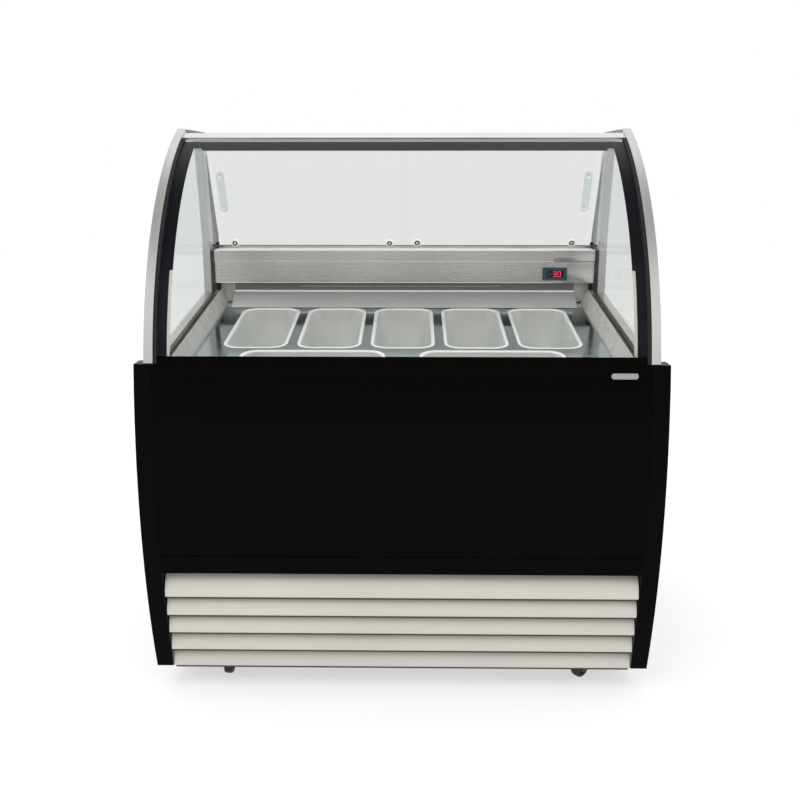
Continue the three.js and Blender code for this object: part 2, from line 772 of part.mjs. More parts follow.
function addCasters() {
  const spots = [
    ["front_left", -CASTER_X, CASTER_FRONT_Y, 0],
    ["front_right", CASTER_X, CASTER_FRONT_Y, PARKED_TURN],
    ["rear_left", -CASTER_X, CASTER_REAR_Y, 0],
    ["rear_right", CASTER_X, CASTER_REAR_Y, 0],
  ];
  for (const [name, x, y, turn] of spots) {
    const swivel = new THREE.Group();
    swivel.position.set(x, y, 0);
    swivel.rotation.z = turn;
    cabinet.add(swivel);
    place(swivel, `caster_fork_${name}`, forkGeometry(), zinc());
    place(swivel, `caster_wheel_${name}`, wheelGeometry(), blackRubber(), [0, CASTER_TRAIL, WHEEL_RADIUS]);
  }
}

addBase();
addCasing();
addRearPanel();
addFront();
addSlats();
addTub();
addDeck();
addPans();
addSills();
addHoodSides();
addFrontGlass();
addCanopy();
addLedge();
addDeflector();
addController();
addDoors();
addHeader();
addRefrigeration();
addFan();
addGland();
addCasters();

const dippingCabinet = new THREE.Group();
dippingCabinet.add(cabinet);

export default dippingCabinet;
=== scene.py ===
"""Looks of the ice cream dipping cabinet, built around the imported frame. Lengths are in metres."""

import math

import bmesh
import bpy
from mathutils import Matrix, Vector


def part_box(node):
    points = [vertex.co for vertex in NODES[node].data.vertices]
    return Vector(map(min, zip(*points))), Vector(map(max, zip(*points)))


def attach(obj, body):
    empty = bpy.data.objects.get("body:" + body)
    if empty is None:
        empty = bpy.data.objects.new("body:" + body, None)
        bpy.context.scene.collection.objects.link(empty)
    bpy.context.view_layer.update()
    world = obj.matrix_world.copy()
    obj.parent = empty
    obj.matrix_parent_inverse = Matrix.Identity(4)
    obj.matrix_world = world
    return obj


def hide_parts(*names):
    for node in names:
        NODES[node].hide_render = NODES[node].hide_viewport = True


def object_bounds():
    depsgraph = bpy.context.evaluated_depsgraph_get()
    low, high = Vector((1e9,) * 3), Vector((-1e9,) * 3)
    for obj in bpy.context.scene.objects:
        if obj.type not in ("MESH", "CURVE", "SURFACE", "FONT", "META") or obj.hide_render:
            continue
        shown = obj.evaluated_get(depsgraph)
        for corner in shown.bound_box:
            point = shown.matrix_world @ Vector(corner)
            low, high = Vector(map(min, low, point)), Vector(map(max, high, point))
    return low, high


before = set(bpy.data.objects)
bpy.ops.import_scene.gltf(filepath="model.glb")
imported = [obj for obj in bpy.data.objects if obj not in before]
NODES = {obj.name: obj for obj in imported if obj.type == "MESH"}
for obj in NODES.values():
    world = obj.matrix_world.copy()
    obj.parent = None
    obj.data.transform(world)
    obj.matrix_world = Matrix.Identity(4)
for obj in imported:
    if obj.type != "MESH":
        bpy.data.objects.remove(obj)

CAD_LOW, CAD_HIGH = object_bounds()
SIDES = (("left", -1), ("right", 1))

# Geometry shared with the frame. The hood's arc centre and its glass:
HOOD_Y = CAD_LOW.y + 0.742
HOOD_Z = 0.682
GLASS_INNER_RADIUS = 0.706
RAIL_RADIUS = 0.7153
# The deck's plane, which falls towards the front, and the lean of the doors:
DECK_Y = CAD_LOW.y + 0.308
DECK_Z = 0.806
DECK_ANGLE = math.radians(8)
DOOR_LEAN = math.radians(24.8)
# The pans' rim width, their depth, and how much they narrow over it:
PAN_RIM = 0.008
PAN_DEPTH = 0.12
PAN_TAPER = 0.1
# Distances from the middle: the glass seals, the printed margins, the inner side of the posts.
SEAL_X = 0.549
FRIT_X = 0.522
POST_X = 0.5572
# The ledge's lip stands this far before its face and hangs this far down.
LIP_REACH = 0.006
LIP_HEIGHT = 0.033
# Where the cover plate over the ledge's right end begins.
COVER_X = 0.431
# Edges of the carried-over nodes that turn more than this are bevelled or split.
SMOOTH_LIMIT = math.radians(28)


# ---- camera -------------------------------------------------------------------------------
def add_camera():
    focal_pixels = 924
    frame_pixels = 800
    pitch = math.radians(13.85)
    orbit = math.radians(0.6)
    aim = math.radians(0.19)
    distance = 1.986 - CAD_LOW.y
    height = 1.239
    camera = bpy.data.cameras.new("camera")
    camera.sensor_width = 36
    camera.lens = camera.sensor_width * focal_pixels / frame_pixels
    camera.clip_start = 0.05
    stand = bpy.data.objects.new("camera", camera)
    stand.location = (distance * math.sin(orbit), -distance * math.cos(orbit), height)
    stand.rotation_euler = (math.pi / 2 - pitch, 0, orbit + aim)
    bpy.context.scene.collection.objects.link(stand)
    bpy.context.scene.camera = stand


# ---- node materials -----------------------------------------------------------------------
def map_range(tree, source, low, high, start, end):
    """A Map Range node that takes start and end of a source to low and high."""
    node = tree.nodes.new("ShaderNodeMapRange")
    for socket, value in (("From Min", start), ("From Max", end), ("To Min", low), ("To Max", high)):
        node.inputs[socket].default_value = value
    tree.links.new(source, node.inputs["Value"])
    return node


def math_node(tree, operation, first, second):
    """The result of a Math node, held between 0 and 1. Each input is a number or a socket."""
    node = tree.nodes.new("ShaderNodeMath")
    node.operation = operation
    node.use_clamp = True
    for socket, value in zip(node.inputs, (first, second)):
        if isinstance(value, (int, float)):
            socket.default_value = value
        else:
            tree.links.new(value, socket)
    return node.outputs["Value"]


class Paint:
    """A material's nodes around one Principled shader."""

    def __init__(self, name, color, roughness, metallic=0.0, **sockets):
        self.material = bpy.data.materials.new(name)
        self.material.use_nodes = True
        self.tree = self.material.node_tree
        self.shader = self.tree.nodes["Principled BSDF"]
        self.set("Base Color", (*color, 1))
        self.set("Roughness", roughness)
        self.set("Metallic", metallic)
        for socket, value in sockets.items():
            self.set(socket.replace("_", " "), value)
        self.position = self.node("ShaderNodeTexCoord").outputs["Object"]

    def set(self, socket, value):
        self.shader.inputs[socket].default_value = value

    def node(self, kind, **settings):
        made = self.tree.nodes.new(kind)
        for key, value in settings.items():
            setattr(made, key, value)
        return made

    def link(self, source, target):
        self.tree.links.new(source, target)

    def noise(self, scale, stretch=(1, 1, 1), detail=3.0):
        """Noise over the piece, drawn out along an axis where stretch is small."""
        mapping = self.node("ShaderNodeMapping")
        mapping.inputs["Scale"].default_value = stretch
        self.link(self.position, mapping.inputs["Vector"])
        noise = self.node("ShaderNodeTexNoise")
        noise.inputs["Scale"].default_value = scale
        noise.inputs["Detail"].default_value = detail
        self.link(mapping.outputs["Vector"], noise.inputs["Vector"])
        return noise.outputs["Fac"]

    def ramp(self, source, low, high, start=0.3, end=0.7):
        return map_range(self.tree, source, low, high, start, end).outputs["Result"]

    def vary_roughness(self, source, low, high):
        self.link(self.ramp(source, low, high), self.shader.inputs["Roughness"])

    def vary_color(self, source, first, second, start=0.3, end=0.7):
        mix = self.node("ShaderNodeMix", data_type="RGBA")
        mix.inputs["A"].default_value = (*first, 1)
        mix.inputs["B"].default_value = (*second, 1)
        self.link(self.ramp(source, 0, 1, start, end), mix.inputs["Factor"])
        self.link(mix.outputs["Result"], self.shader.inputs["Base Color"])

    def bump(self, source, strength, distance=0.0004):
        bump = self.node("ShaderNodeBump")
        bump.inputs["Strength"].default_value = strength
        bump.inputs["Distance"].default_value = distance
        self.link(source, bump.inputs["Height"])
        self.link(bump.outputs["Normal"], self.shader.inputs["Normal"])


def gloss_black():
    paint = Paint("gloss_black", (0.0012, 0.0011, 0.0009), 0.09, Specular_IOR_Level=0.04)
    paint.vary_roughness(paint.noise(5, detail=6), 0.06, 0.13)
    paint.bump(paint.noise(60, detail=2), 0.015)
    return paint.material


def trim_black():
    paint = Paint("trim_black", (0.0016, 0.0016, 0.0015), 0.3, Specular_IOR_Level=0.04)
    paint.vary_roughness(paint.noise(9, detail=5), 0.22, 0.34)
    paint.bump(paint.noise(900, detail=2), 0.05)
    return paint.material


def powder_coat(name, color, roughness):
    paint = Paint(name, color, roughness)
    darker = tuple(0.93 * c for c in color)
    paint.vary_color(paint.noise(4, detail=6), darker, color)
    paint.vary_roughness(paint.noise(30), roughness - 0.06, roughness + 0.06)
    paint.bump(paint.noise(1400, detail=2), 0.12, 0.0002)
    return paint.material


def brushed(name, color, roughness, stretch, depth=0.06, metallic=1.0, spread=0.06, cloud=0.92):
    """Metal with fine lines along the axis where stretch is small, a little darker in broad patches."""
    paint = Paint(name, color, roughness, metallic, Anisotropic=0.4)
    lines = paint.noise(900, stretch, 4)
    paint.vary_color(paint.noise(3.5, detail=5), tuple(cloud * c for c in color), color)
    paint.vary_roughness(lines, roughness - spread, roughness + spread)
    paint.bump(lines, depth, 0.0002)
    return paint.material


def satin_pan():
    """Drawn stainless steel: smooth, with soft upright streaks in the walls' colour that are painted
    highlights.
    """
    paint = Paint("pan_steel", (0.93, 0.94, 0.925), 0.3, 0.55)
    # Lighter and darker upright streaks in the colour: painted soft highlights.
    paint.vary_color(paint.noise(24, (1, 1, 0.12), 2), (0.885, 0.895, 0.88), (0.955, 0.965, 0.95))
    paint.vary_roughness(paint.noise(16, detail=1), 0.28, 0.32)
    paint.bump(paint.noise(900, (1, 1, 0.02), 2), 0.01, 0.0001)
    return paint.material


def glowing_highlight(name, glow):
    """Polished folds, with a faint glow along their whole length: painted highlight for the room's light.
    """
    light = {"Emission_Color": (1, 1, 0.99, 1), "Emission_Strength": glow}
    paint = Paint(name, (0.97, 0.97, 0.96), 0.16, 0.3, **light)
    paint.vary_roughness(paint.noise(60, detail=4), 0.12, 0.24)
    paint.bump(paint.noise(500), 0.02, 0.0001)
    return paint.material


def polished_deck():
    paint = Paint("polished_deck", (0.44, 0.50, 0.52), 0.1, 1.0)
    paint.vary_roughness(paint.noise(14, detail=6), 0.07, 0.16)
    paint.bump(paint.noise(7, detail=2), 0.05, 0.002)
    return paint.material


def smudges(tree, haze):
    """Faint cloudy marks on a pane, up to the strength of haze."""
    noise = tree.nodes.new("ShaderNodeTexNoise")
    noise.inputs["Scale"].default_value = 4
    noise.inputs["Detail"].default_value = 7
    place = tree.nodes.new("ShaderNodeTexCoord")
    tree.links.new(place.outputs["Object"], noise.inputs["Vector"])
    return map_range(tree, noise.outputs["Fac"], 0.0, haze, 0.35, 0.75).outputs["Result"]


def see_through(name, tint, roughness=0.02, ior=1.45, haze=0.0):
    """A pane: clear by a tinted Transparent shader, with a mirror-like outer face."""
    material = bpy.data.materials.new(name)
    material.use_nodes = True
    tree = material.node_tree
    tree.nodes.remove(tree.nodes["Principled BSDF"])
    clear = tree.nodes.new("ShaderNodeBsdfTransparent")
    clear.inputs["Color"].default_value = (*tint, 1)
    face = tree.nodes.new("ShaderNodeBsdfPrincipled")
    face.inputs["Base Color"].default_value = (0.75, 0.8, 0.8, 1)
    face.inputs["Roughness"].default_value = roughness
    face.inputs["Metallic"].default_value = 1.0
    fresnel = tree.nodes.new("ShaderNodeFresnel")
    fresnel.inputs["IOR"].default_value = ior
    geometry = tree.nodes.new("ShaderNodeNewGeometry")
    mirror = math_node(tree, "ADD", fresnel.outputs["Fac"], smudges(tree, haze))
    outside = math_node(tree, "SUBTRACT", 1, geometry.outputs["Backfacing"])
    mix = tree.nodes.new("ShaderNodeMixShader")
    tree.links.new(math_node(tree, "MULTIPLY", mirror, outside), mix.inputs["Fac"])
    tree.links.new(clear.outputs["BSDF"], mix.inputs[1])
    tree.links.new(face.outputs["BSDF"], mix.inputs[2])
    tree.links.new(mix.outputs["Shader"], tree.nodes["Material Output"].inputs["Surface"])
    return material


def rubber(name="black_rubber", color=(0.012, 0.012, 0.013), roughness=0.62):
    paint = Paint(name, color, roughness, Specular_IOR_Level=0.3)
    paint.vary_roughness(paint.noise(40, detail=4), roughness - 0.1, roughness + 0.1)
    paint.bump(paint.noise(700, detail=3), 0.1, 0.0003)
    return paint.material


def plastic(name, color, roughness=0.4, **sockets):
    paint = Paint(name, color, roughness, **sockets)
    paint.vary_color(paint.noise(25, detail=4), tuple(0.95 * c for c in color), color)
    paint.bump(paint.noise(800, detail=2), 0.05, 0.0002)
    return paint.material


def glowing(name, color, strength):
    paint = Paint(name, color, 0.4, Emission_Color=(*color, 1), Emission_Strength=strength)
    paint.bump(paint.noise(500), 0.02, 0.0001)
    return paint.material


MATERIALS = {
    "gloss_black": gloss_black(),
    "trim_black": trim_black(),
    "slat": powder_coat("slat_grey", (0.58, 0.56, 0.51), 0.36),
    "sill": powder_coat("sill_grey", (0.86, 0.86, 0.82), 0.3),
    "casing": powder_coat("casing_steel", (0.035, 0.036, 0.038), 0.48),
    "dark_steel": powder_coat("dark_steel", (0.045, 0.048, 0.055), 0.42),
    "header": powder_coat("header_steel", (0.035, 0.04, 0.048), 0.35),
    # Dark brown for the strips under the slats: painted shadow of the gaps below them.
    "slat_strip": powder_coat("slat_strip", (0.055, 0.048, 0.04), 0.6),
    "liner": powder_coat("foam_liner", (0.78, 0.78, 0.76), 0.5),
    "silver": brushed("silver_frame", (0.80, 0.785, 0.76), 0.36, (1, 0.02, 0.02), depth=0.04),
    "canopy": brushed("canopy_aluminium", (0.93, 0.92, 0.91), 0.36, (0.02, 1, 1), depth=0.04),
    "ledge": brushed("brushed_ledge", (0.84, 0.835, 0.81), 0.28, (0.012, 1, 1), depth=0.035, cloud=0.84),
    "pan": satin_pan(),
    # Both glow faintly: painted highlight on pan rims, the ledge top, folds and screw heads.
    "rim": glowing_highlight("pan_rim", 0.22),
    "edge": glowing_highlight("folded_edge", 0.4),
    "deflector": brushed("brushed_deflector", (0.95, 0.94, 0.94), 0.32, (0.012, 1, 1), 0.05, 0.3),
    # Darker grey for the strip under the ledge: painted shade.
    "vent": powder_coat("shade_strip_grey", (0.30, 0.29, 0.30), 0.4),
    "back": powder_coat("back_panel_grey", (0.42, 0.42, 0.42), 0.45),
    "post_front": powder_coat("post_light_grey", (0.84, 0.86, 0.86), 0.4),
    "post_rear": powder_coat("post_dark_grey", (0.15, 0.165, 0.17), 0.4),
    "deck": polished_deck(),
    "glass": see_through("clear_glass", (0.890, 0.893, 0.885), ior=1.22, haze=0.008),
    "side_glass": see_through("side_glass", (0.940, 0.952, 0.950), ior=1.1, haze=0.02),
    "acrylic": see_through("acrylic", (0.990, 0.992, 0.990), 0.05, ior=1.15, haze=0.006),
    "handle": see_through("handle_acrylic", (0.88, 0.92, 0.90), 0.12, haze=0.12),
    "rubber": rubber(),
    "tyre": rubber("caster_rubber", (0.015, 0.015, 0.016), 0.55),
    "white": plastic("white_plastic", (0.97, 0.97, 0.96)),
    # White plastic with a faint glow: painted light on the rollers, whose faces turn down away from the
    # light.
    "roller": plastic(
        "roller_white_glow", (0.97, 0.97, 0.96), Emission_Color=(1, 1, 1, 1), Emission_Strength=0.5
    ),
    "fan": plastic("fan_plastic", (0.02, 0.02, 0.022), 0.5),
    "zinc": brushed("zinc_steel", (0.45, 0.45, 0.44), 0.4, (1, 1, 1)),
    "screw": brushed("screw_steel", (0.62, 0.62, 0.6), 0.25, (1, 1, 1)),
    "coil": brushed("finned_coil", (0.5, 0.51, 0.52), 0.42, (1, 1, 0.03)),
    "compressor": powder_coat("compressor_black", (0.012, 0.012, 0.014), 0.3),
    "bezel": plastic("bezel_blue_grey", (0.045, 0.085, 0.13), 0.35),
    "display": plastic("display_window", (0.004, 0.008, 0.03), 0.12),
    "digits": glowing("display_digits", (0.95, 0.05, 0.10), 0.9),
    "led": glowing("lamp_diodes", (1.0, 0.97, 0.9), 18),
    "frit": plastic("glass_frit", (0.004, 0.005, 0.009), 0.3, Specular_IOR_Level=0.1),
    "plate": brushed("cover_plate", (0.80, 0.77, 0.765), 0.27, (0.012, 1, 1), depth=0.035),
    # Near-black: painted shade in the gaps at the ledge's ends, and the own colour of roller hubs and stop
    # pins.
    "gap": rubber("dark_parts_and_gap_shade", (0.004, 0.004, 0.004), 0.7),
    "cream": plastic("cream_edge", (0.72, 0.70, 0.62), 0.35),
}


# ---- carried-over nodes -------------------------------------------------------------------
def dress(name, material, bevel=0.0008, segments=2):
    """A CAD node keeps its shape and gets a material, softened edges and smooth curved faces."""
    obj = NODES[name]
    mesh = obj.data
    custom = mesh.attributes.get("custom_normal")
    if custom is not None:
        mesh.attributes.remove(custom)
    mesh.materials.clear()
    mesh.materials.append(MATERIALS[material])
    mesh.polygons.foreach_set("use_smooth", [True] * len(mesh.polygons))
    weld = obj.modifiers.new("weld", "WELD")
    weld.merge_threshold = 0.00002
    if bevel:
        soften = obj.modifiers.new("bevel", "BEVEL")
        soften.width = bevel
        soften.segments = segments
        soften.limit_method = "ANGLE"
        soften.angle_limit = SMOOTH_LIMIT
        soften.harden_normals = True
    else:
        split = obj.modifiers.new("split", "EDGE_SPLIT")
        split.split_angle = SMOOTH_LIMIT


def dress_nodes():
    for side, _ in SIDES:
        dress(f"side_panel_{side}", "casing", 0.0015)
        dress(f"front_trim_{side}", "trim_black", 0.0025, 3)
        dress(f"side_frame_{side}", "silver", 0.0018, 3)
        dress(f"glass_seal_{side}", "rubber", 0.0008)
        dress(f"side_glass_{side}", "side_glass", 0)
        dress(f"side_sill_{side}", "sill", 0.0006)
        dress(f"door_{side}", "acrylic", 0)
    plain = {
        "base_frame": ("dark_steel", 0.001),
        "rear_panel": ("back", 0),
        "insulated_tub": ("liner", 0.001),
        "pan_deck": ("deck", 0.0003),
        "rear_ledge": ("ledge", 0.0006),
        "air_deflector": ("deflector", 0.0004),
        "front_panel": ("gloss_black", 0.0012),
        "lower_strip": ("gloss_black", 0.0012),
        "front_glass": ("glass", 0),
        "glass_bottom_rail": ("gloss_black", 0.0006),
        "canopy": ("canopy", 0.0012),
        "lamp_housing": ("white", 0.0005),
        "rear_top_track": ("header", 0.0005),
        "compressor": ("compressor", 0.001),
        "condenser": ("coil", 0.0006),
        "fan_motor": ("dark_steel", 0.001),
        "evaporator": ("coil", 0.0006),
        "cable_gland": ("rubber", 0.0004),
        "condenser_fan": ("fan", 0.0004),
    }
    for name, (material, bevel) in plain.items():
        dress(name, material, bevel)


# ---- mesh makers --------------------------------------------------------------------------
def add_mesh(name, bm, material, body, replaced=(), smooth=35, matrix=None):
    """Turns a bmesh into a named piece that rides on a body."""
    bmesh.ops.recalc_face_normals(bm, faces=bm.faces)
    limit = math.radians(smooth)
    for edge in bm.edges:
        edge.smooth = len(edge.link_faces) == 2 and edge.calc_face_angle(0) < limit
    for face in bm.faces:
        face.smooth = True
    if matrix is not None:
        bm.transform(matrix)
    mesh = bpy.data.meshes.new(name)
    bm.to_mesh(mesh)
    bm.free()
    for entry in [material] if isinstance(material, str) else material:
        mesh.materials.append(MATERIALS[entry])
    obj = bpy.data.objects.new(name, mesh)
    bpy.context.scene.collection.objects.link(obj)
    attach(obj, body)
    if replaced:
        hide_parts(*replaced)
    return obj


def loft(bm, rings, cap=True):
    """Joins rings of equal length into one skin, closed at both ends if cap is set."""
    rows = [[bm.verts.new(co) for co in ring] for ring in rings]
    for low, high in zip(rows, rows[1:]):
        for i in range(len(low)):
            j = (i + 1) % len(low)
            bm.faces.new((low[i], low[j], high[j], high[i]))
    if cap:
        bm.faces.new(reversed(rows[0]))
        bm.faces.new(rows[-1])
    return rows


def rounded_ring(half_x, half_y, radius, z, per_corner=7):
    ring = []
    corners = ((1, 1, 0), (-1, 1, 1), (-1, -1, 2), (1, -1, 3))
    for sx, sy, quarter in corners:
        for k in range(per_corner + 1):
            angle = math.pi / 2 * (quarter + k / per_corner)
            x = sx * (half_x - radius) + radius * math.cos(angle)
            y = sy * (half_y - radius) + radius * math.sin(angle)
            ring.append(Vector((x, y, z)))
    return ring


def circles(profile, segments):
    """One ring about Z for each radius and height of a profile."""
    turns = [2 * math.pi * i / segments for i in range(segments)]
    return [[Vector((r * math.cos(a), r * math.sin(a), z)) for a in turns] for r, z in profile]


def turned(bm, profile, segments=48):
    """A body turned about its own Z axis. The profile's ends are closed."""
    loft(bm, circles(profile, segments))


def ring_of_revolution(bm, profile, segments):
    """A closed profile of radius and height, turned about Z."""
    rows = loft(bm, circles(profile, segments), cap=False)
    for i in range(segments):
        j = (i + 1) % segments
        bm.faces.new((rows[-1][i], rows[-1][j], rows[0][j], rows[0][i]))


def append(bm, part, matrix):
    """Adds a finished part to a growing one."""
    part.transform(matrix)
    mesh = bpy.data.meshes.new("part")
    part.to_mesh(mesh)
    part.free()
    bm.from_mesh(mesh)
    bpy.data.meshes.remove(mesh)


def box(bm, low, high, bevel=0.0):
    low, high = Vector(low), Vector(high)
    made = bmesh.ops.create_cube(bm, size=1)
    bmesh.ops.scale(bm, vec=high - low, verts=made["verts"])
    bmesh.ops.translate(bm, vec=(high + low) / 2, verts=made["verts"])
    if bevel:
        edges = list({e for v in made["verts"] for e in v.link_edges})
        bmesh.ops.bevel(bm, geom=edges, offset=bevel, segments=2, affect="EDGES", profile=0.5)


def spline_value(a, b, c, d, t):
    """The Catmull-Rom value at share t of the span from b to c."""
    curve = 2 * b + (c - a) * t + (2 * a - 5 * b + 4 * c - d) * t * t + (3 * b - a - 3 * c + d) * t**3
    return 0.5 * curve


def smooth_line(points, per_span=4):
    """A Catmull-Rom line through points."""
    line = []
    for i in range(len(points) - 1):
        ends = (points[max(i - 1, 0)], points[i], points[i + 1], points[min(i + 2, len(points) - 1)])
        for k in range(per_span):
            line.append(tuple(spline_value(*values, k / per_span) for values in zip(*ends)))
    line.append(points[-1])
    return line


def extruded_x(bm, outline, x0, x1):
    """A closed outline of Y and Z, drawn out from x0 to x1."""
    loft(bm, [[Vector((x, y, z)) for y, z in outline] for x in (x0, x1)])


def hood_point(radius, degrees):
    angle = math.radians(degrees)
    return (HOOD_Y - radius * math.cos(angle), HOOD_Z + radius * math.sin(angle))


def hood_band(inner, outer, start, end, steps=40):
    angles = [start + (end - start) * i / steps for i in range(steps + 1)]
    return [hood_point(outer, a) for a in angles] + [hood_point(inner, a) for a in reversed(angles)]


DECK_MATRIX = Matrix.Translation((0, DECK_Y, DECK_Z)) @ Matrix.Rotation(DECK_ANGLE, 4, "X")


# ---- lower body ---------------------------------------------------------------------------
def add_slats():
    """Rounded louvre slats, and a dark strip below each that stands for the shadow under it."""
    outer = [(2.5, 0), (0.7, 1.2), (0, 4.5), (0.8, 14), (3.5, 25), (8.5, 36), (15.5, 46), (24, 55)]
    inner = [(26, 53.5), (17.5, 44.5), (10.8, 35), (6, 24.5), (4, 12), (4.5, 0.2)]
    line = smooth_line(outer) + smooth_line(inner)
    for i in range(1, 6):
        node = f"louver_slat_{i}"
        low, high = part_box(node)
        outline = [(low.y + y / 1000, low.z + z / 1000) for y, z in line]
        bm = bmesh.new()
        extruded_x(bm, outline, low.x, high.x)
        add_mesh(f"slat_{i}", bm, "slat", "cabinet", (node,), smooth=50)
        # Below each slat a dark strip: painted shadow.
        bm = bmesh.new()
        left, right = low.x + 0.003, high.x - 0.003
        front, back = low.y + 0.0035, low.y + 0.0055
        box(bm, (left, front, low.z - 0.0050), (right, back, low.z + 0.004), 0.0005)
        add_mesh(f"slat_strip_{i}", bm, "slat_strip", "cabinet")


def add_badge():
    """A blank rounded plate where a maker would put a name."""
    low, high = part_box("front_panel")
    bm = bmesh.new()
    half_x, half_z, corner, chamfer = 0.030, 0.0065, 0.0060, 0.0006
    rings = [
        rounded_ring(half_x, half_z, corner, 0),
        rounded_ring(half_x, half_z, corner, 0.0006),
        rounded_ring(half_x - chamfer, half_z - chamfer, corner - chamfer, 0.0011),
    ]
    loft(bm, rings)
    middle_x, height = 0.498, 0.798
    lean = math.radians(10.5)
    surface = high.y - 0.006 - (high.z - height) * math.tan(lean) - 0.0001
    upright = Matrix.Rotation(math.pi / 2 - lean, 4, "X")
    place = Matrix.Translation((middle_x, surface, height)) @ upright
    add_mesh("blank_badge", bm, "screw", "cabinet", matrix=place)


def add_rail_dots():
    """A fine row of pale dots along the black rail under the front glass."""
    first, last, pitch = -0.415, 0.337, 0.0094
    count = int((last - first) / pitch)
    row_angle = 11.2
    half_x, half_z, thick = 0.0012, 0.0005, 0.0008
    y, z = hood_point(RAIL_RADIUS, row_angle)
    bm = bmesh.new()
    for i in range(count):
        x = first + i * pitch
        box(bm, (x - half_x, y, z - half_z), (x + half_x, y + thick, z + half_z))
    add_mesh("rail_dots", bm, "zinc", "cabinet")


# ---- pans ---------------------------------------------------------------------------------
PAN_LIP = [
    (0.0003, -0.0004),
    (0.0058, -0.0004),
    (0.0074, -0.0007),
    (0.0080, -0.0013),
    (0.0078, -0.0019),
    (0.0072, -0.0023),
    (0.0010, -0.0023),
    (0.0001, -0.0019),
    (-0.0008, -0.0008),
    (-0.0012, 0.0012),
]


def pan_rings(width, length):
    """Rings from the underside, up the outside, over the lip and down the inside."""
    half_x, half_y = width / 2 - PAN_RIM, length / 2 - PAN_RIM
    wall = 0.0012
    outer_fillet, inner_fillet = 0.016, 0.0148
    corner, least_corner = 0.036, 0.008

    def body(depth, extra):
        share = 1 - PAN_TAPER * max(depth, 0) / PAN_DEPTH
        radius = max(corner * share + (extra if extra < 0 else 0.75 * extra), least_corner)
        return rounded_ring(half_x * share + extra, half_y * share + extra, radius, -depth)

    rings = []
    turns = [math.pi / 2 * k / 5 for k in range(6)]
    for a in turns:
        rings.append(body(PAN_DEPTH - outer_fillet * (1 - math.cos(a)), -outer_fillet * (1 - math.sin(a))))
    rings.append(body(0.002, 0))
    rings += [body(depth, extra) for extra, depth in PAN_LIP]
    for a in reversed(turns):
        depth = PAN_DEPTH - wall - inner_fillet * (1 - math.cos(a))
        rings.append(body(depth, -wall - inner_fillet * (1 - math.sin(a))))
    return rings


def add_pans():
    """Drawn shells: five in the back row, and two turned sideways in front of them."""
    narrow, wide = 0.165, 0.36
    back_pitch, front_offset = 0.1886, 0.222
    rim_foot = -0.0011
    layout = [(f"pan_back_{i + 3}", i * back_pitch, wide / 2, narrow, wide) for i in range(-2, 3)]
    front_y = (CAD_LOW.y + 0.130 - DECK_Y) / math.cos(DECK_ANGLE) + narrow / 2
    layout += [(f"pan_front_{side}", sign * front_offset, front_y, wide, narrow) for side, sign in SIDES]
    for node, x, y, width, length in layout:
        bm = bmesh.new()
        loft(bm, pan_rings(width, length))
        # The lip's faces take the glowing rim material: painted highlight along the rims.
        for face in bm.faces:
            is_rim = face.calc_center_median().z > rim_foot and len(face.verts) == 4
            face.material_index = int(is_rim)
        place = DECK_MATRIX @ Matrix.Translation((x, y, 0))
        add_mesh(f"{node}_shell", bm, ("pan", "rim"), node, (node,), smooth=60, matrix=place)


# ---- hood ---------------------------------------------------------------------------------
def add_frit():
    """Printed margins on the inner face of the front glass, and the cream strip beside them."""
    foot, top_band, top = 12.0, 60.6, 63.4
    change_height = 1.022
    change = math.degrees(math.asin((change_height - HOOD_Z) / GLASS_INNER_RADIUS))
    outer = GLASS_INNER_RADIUS - 0.0003
    inner = outer - 0.0004
    for side, sign in SIDES:
        bands = (
            ("frit_upper", "frit", FRIT_X, SEAL_X, change, top),
            ("frit_lower", "frit", FRIT_X + 0.007, SEAL_X, foot, change),
            ("cream_strip", "cream", FRIT_X, FRIT_X + 0.007, foot, change),
        )
        for name, material, near, far, start, end in bands:
            bm = bmesh.new()
            x0, x1 = sorted((sign * near, sign * far))
            extruded_x(bm, hood_band(inner, outer, start, end), x0, x1)
            add_mesh(f"{name}_{side}", bm, material, "cabinet")
    bm = bmesh.new()
    extruded_x(bm, hood_band(inner, outer, top_band, top, 6), -FRIT_X, FRIT_X)
    add_mesh("frit_top", bm, "frit", "cabinet")


def add_sill_seals():
    """Two dark gaskets that hold each side glass in its sill."""
    low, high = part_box("side_glass_right")
    inner, outer = low.x, high.x
    start = (CAD_LOW.y + 0.064 - DECK_Y) / math.cos(DECK_ANGLE)
    end = (CAD_LOW.y + 0.684 - DECK_Y) / math.cos(DECK_ANGLE)
    top = 0.0402
    for side, sign in SIDES:
        bm = bmesh.new()
        for near, far in ((inner - 0.0016, inner - 0.0002), (outer + 0.0002, outer + 0.0016)):
            x0, x1 = sorted((sign * near, sign * far))
            box(bm, (x0, start, top - 0.0035), (x1, end, top + 0.0012), 0.0004)
        add_mesh(f"sill_seal_{side}", bm, "rubber", "cabinet", matrix=DECK_MATRIX)


def add_post_liners():
    """Painted facings on the inner sides of the rear posts and of the frame tops above the canopy."""
    front = [(0.650, 1.287), (0.692, 1.287), (0.733, 1.056), (0.733, 1.026), (0.688, 1.026), (0.686, 1.060)]
    rear = [(0.693, 1.287), (0.703, 1.287), (0.812, 1.056), (0.812, 1.026), (0.734, 1.026), (0.734, 1.056)]
    top = [(0.470, 1.3370), (0.470, 1.3440), (0.520, 1.3462), (0.703, 1.3462), (0.703, 1.3370)]
    shapes = (
        ("post_front", front, "post_front"),
        ("post_rear", rear, "post_rear"),
        ("frame_cap", top, "post_rear"),
    )
    for side, sign in SIDES:
        x0, x1 = sorted((sign * POST_X, sign * (POST_X + 0.0007)))
        for name, outline, material in shapes:
            bm = bmesh.new()
            extruded_x(bm, [(CAD_LOW.y + y, z) for y, z in outline], x0, x1)
            add_mesh(f"{name}_{side}", bm, material, "cabinet", smooth=10)


